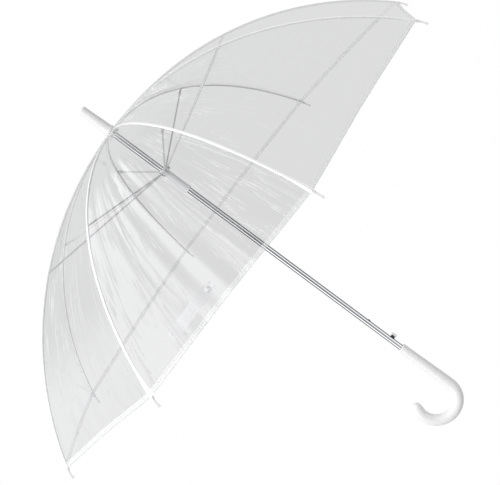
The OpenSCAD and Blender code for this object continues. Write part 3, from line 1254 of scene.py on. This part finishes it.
@dataclass
class Studio:
    """The camera, the white floor and surround, and the soft key light.

    Levels are radiances. The mirror fields make up what glossy rays meet, and the diffuse fields what
    diffuse rays meet. A strip is its angle from the camera, the cosine where it starts, and its level.
    """

    azimuth: float = math.radians(10.88)
    elevation: float = math.radians(6.99)
    roll: float = math.radians(-53.4)
    distance: float = 2.637
    lens: float = 112.46
    mirror_base: float = 0.27
    mirror_rise: float = 0.49
    mirror_ground: float = 0.33
    mirror_near: float = 2.2
    mirror_dim: float = -0.42
    mirror_left: float = 0.85
    strips: tuple = ((-60.0, 0.945, 1.9), (47.0, 0.925, 1.15))
    diffuse_base: float = 0.40
    diffuse_rise: float = 0.54
    key_power: float = 106.0
    key_size: float = 2.4
    key_distance: float = 4.0

    def axes(self) -> tuple[np.ndarray, np.ndarray, np.ndarray]:
        """Directions across, up and towards the camera, before it is rolled.

        Returns:
            The three unit vectors.
        """
        d = np.array([math.sin(self.azimuth) * math.cos(self.elevation),
                      -math.cos(self.azimuth) * math.cos(self.elevation), math.sin(self.elevation)])
        right = unit(np.cross(-d, Z_AXIS))
        return right, np.cross(right, -d), d

    def build_camera(self) -> None:
        """Places the camera at its fitted angle, roll and distance."""
        right, up, d = self.axes()
        target = 0.45 * Z_AXIS + right * -0.010 + up * 0.0207
        c, s = math.cos(self.roll), math.sin(self.roll)
        x, y = c * right + s * up, -s * right + c * up
        data = bpy.data.cameras.new("camera")
        data.lens = self.lens
        data.sensor_width = 36.0
        camera = bpy.data.objects.new("camera", data)
        bpy.context.scene.collection.objects.link(camera)
        place = target + d * self.distance
        camera.matrix_world = Matrix([[x[0], y[0], d[0], place[0]], [x[1], y[1], d[1], place[1]],
                                      [x[2], y[2], d[2], place[2]], [0, 0, 0, 1]])
        bpy.context.scene.camera = camera

    def build_key(self) -> None:
        """Adds the one soft light, which faces the canopy's middle and isn't mirrored."""
        data = bpy.data.lights.new("key", "AREA")
        data.shape = "RECTANGLE"
        data.size = data.size_y = self.key_size
        data.energy = self.key_power
        light = bpy.data.objects.new("key", data)
        bpy.context.scene.collection.objects.link(light)
        middle = Vector((0.0, 0.0, 0.6))
        towards = -0.8 * X_AXIS + 0.7 * self.axes()[2] + 0.25 * Z_AXIS
        light.location = middle + Vector(unit(towards) * self.key_distance)
        light.rotation_euler = (middle - light.location).to_track_quat("-Z", "Y").to_euler()
        light.visible_camera = False
        light.visible_glossy = False

    def build_world(self) -> None:
        """White to the camera, soft grey to diffuse light, and dim with a bright side to reflections."""
        world = bpy.data.worlds.new("surround")
        bpy.context.scene.world = world
        world.use_nodes = True
        world.node_tree.nodes.clear()
        w = Wires(world.node_tree)
        path = w.add("LightPath")
        way = w.add("TexCoord").outputs["Generated"]
        right, _, d = self.axes()
        front = w.add("VectorMath", {0: way, 1: tuple(d)}, operation="DOT_PRODUCT").outputs["Value"]
        parts = w.add("SeparateXYZ", {0: way})
        x, z = parts.outputs["X"], parts.outputs["Z"]
        level = w.maths("MAXIMUM", w.soft_step(z, 0.0, 0.25), w.soft_step(front, -0.5, -0.75))
        level = w.maths("MAXIMUM", level, w.soft_step(z, -0.2, -0.35))
        high = w.soft_step(z, 0.6, 0.8)
        near = w.maths("MULTIPLY", w.soft_step(x, -0.20, -0.26), high)
        dim = w.maths("MULTIPLY", w.soft_step(x, -0.21, -0.17), w.soft_step(x, 0.30, 0.0))
        left = w.maths("MULTIPLY", w.soft_step(x, -0.60, -0.78), w.soft_step(z, 0.15, 0.3))
        glow = w.maths("MULTIPLY_ADD", level, self.mirror_rise, self.mirror_base)
        for mask, strength in ((w.soft_step(z, -0.15, -0.35), self.mirror_ground), (near, self.mirror_near),
                               (w.maths("MULTIPLY", dim, high), self.mirror_dim), (left, self.mirror_left)):
            glow = w.maths("MULTIPLY_ADD", mask, strength, glow)
        for turn, start, strength in self.strips:
            aim = math.sin(math.radians(turn)) * right + math.cos(math.radians(turn)) * d * (1, 1, -1)
            strip = w.add("VectorMath", {0: way, 1: tuple(aim)}, operation="DOT_PRODUCT").outputs["Value"]
            glow = w.maths("MULTIPLY_ADD", w.soft_step(strip, start, 0.99), strength, glow)
        above = w.maths("MULTIPLY_ADD", w.soft_step(z, -0.2, 0.4), self.diffuse_rise, self.diffuse_base)
        soft = w.add("Mix", {0: path.outputs["Is Glossy Ray"], 2: above, 3: glow}, data_type="FLOAT")
        seen = w.add("Mix", {0: path.outputs["Is Camera Ray"], 2: soft.outputs[0], 3: 1.0},
                     data_type="FLOAT")
        sky = w.add("Background", {"Color": (1.0, 1.0, 1.0, 1.0), "Strength": seen.outputs[0]})
        out = w.add("OutputWorld")
        w.tree.links.new(sky.outputs[0], out.inputs["Surface"])

    def build_floor(self) -> None:
        """A wide plain white disc just under the handle."""
        turn = np.linspace(0, 2 * np.pi, 96, endpoint=False)
        rings = np.array([0.0005, 1.0, 4.0, 12.0])
        points = np.stack([rings[:, None] * np.cos(turn), rings[:, None] * np.sin(turn),
                           np.full((4, 96), -0.0006)], -1)
        floor = make_piece("floor", points, grid_faces(4, 96, wrap=True))
        material, w, output, place = blank_material("studio_floor")
        grain = w.add("TexNoise", {"Vector": place, "Scale": 3.0})
        level = w.add("MapRange", {"Value": grain.outputs["Fac"], "To Min": 0.995, "To Max": 1.0})
        shine = w.add("Emission", {"Color": (1, 1, 1, 1), "Strength": level.outputs["Result"]})
        w.tree.links.new(shine.outputs[0], output.inputs["Surface"])
        floor.data.materials.append(material)
        floor.visible_glossy = False
        floor.visible_diffuse = False
        floor.visible_shadow = False

    def build(self) -> None:
        """Builds camera, world, floor and key light."""
        self.build_camera()
        self.build_world()
        self.build_floor()
        self.build_key()
        view = bpy.context.scene.view_settings
        view.view_transform = "Standard"
        view.look = "None"
        bpy.context.scene.cycles.transparent_max_bounces = 64
        bpy.context.scene.cycles.max_bounces = 12
        bpy.context.scene.cycles.use_denoising = True


def main() -> None:
    """Builds the umbrella's sub-assemblies in order, then the studio."""
    logging.basicConfig(level=logging.INFO, format="%(name)s: %(message)s")
    arc = RibArc.from_frame()
    LOG.info("arc radius %.1f mm, hem slope %.2f degrees", arc.radius * 1000, math.degrees(arc.hem))
    Studio().build()
    Canopy(arc).build()
    TieStrap(arc).build()
    RibCaps(arc).build()
    Handle().build()
    Ferrule().build()
    MainSpring().build()
    CrownWire().build()
    KeptNodes().build()


if __name__ == "__main__":
    main()
